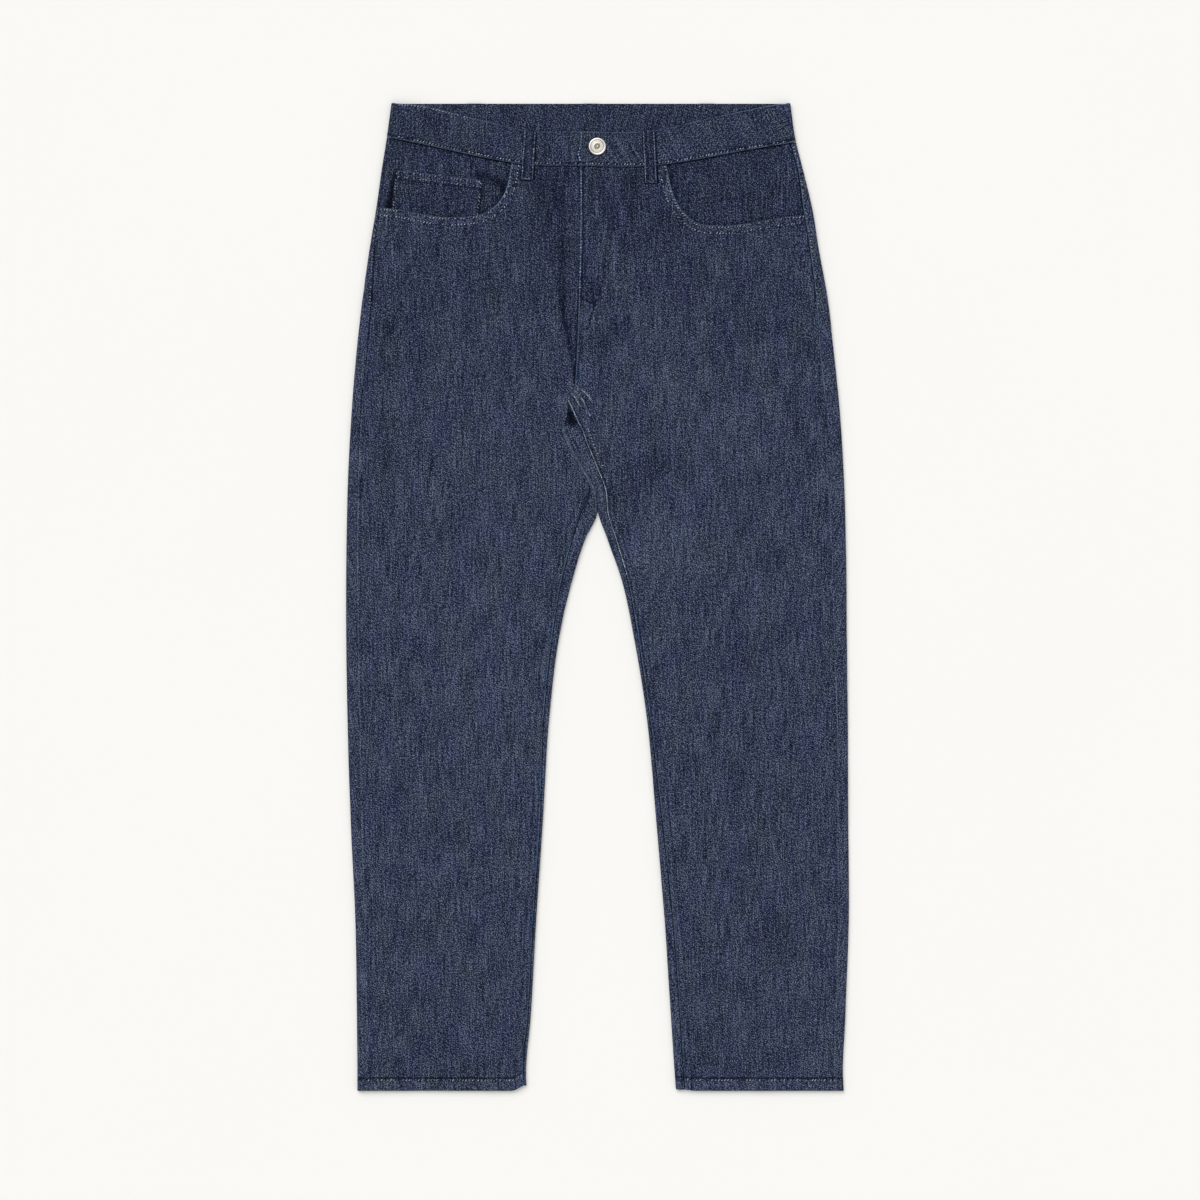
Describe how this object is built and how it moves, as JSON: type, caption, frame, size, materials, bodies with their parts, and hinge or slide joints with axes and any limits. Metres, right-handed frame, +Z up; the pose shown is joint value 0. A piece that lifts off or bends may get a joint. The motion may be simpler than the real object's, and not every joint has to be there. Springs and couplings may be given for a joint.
{
  "type": "tapered jeans",
  "caption": "Tapered five-pocket jeans in dark indigo denim, laid flat on their back with the fly buttoned.",
  "frame": {"origin": "on the surface that the jeans lie on, under the middle of their bounding box", "axes": "+Y from the hems to the waist, +X to the wearer's left, +Z up from the surface, out of the front of the jeans"},
  "size_m": [0.5327, 1.0473, 0.009],
  "materials": {
    "denim": "dark indigo twill denim, matt, with slubs and light seam edges",
    "pocket_denim": "the same denim in the shade of the pocket mouths",
    "band_denim": "the same denim doubled, topstitched tone on tone",
    "button_metal": "antique nickel shank button with a plain beaded rim"
  },
  "bodies": {
    "root": {"back_right": "denim", "back_left": "denim", "yoke_right": "denim", "yoke_left": "denim", "front_right": "denim", "front_left": "denim", "back_pocket_right": "denim", "back_pocket_left": "denim", "pocket_facing_right": "pocket_denim", "pocket_facing_left": "pocket_denim", "coin_pocket": "pocket_denim", "waistband": "band_denim", "loop_front_right": "band_denim", "loop_front_left": "band_denim", "loop_back_right": "band_denim", "loop_back_centre": "band_denim", "loop_back_left": "band_denim", "button": "button_metal"}
  },
  "joints": []
}
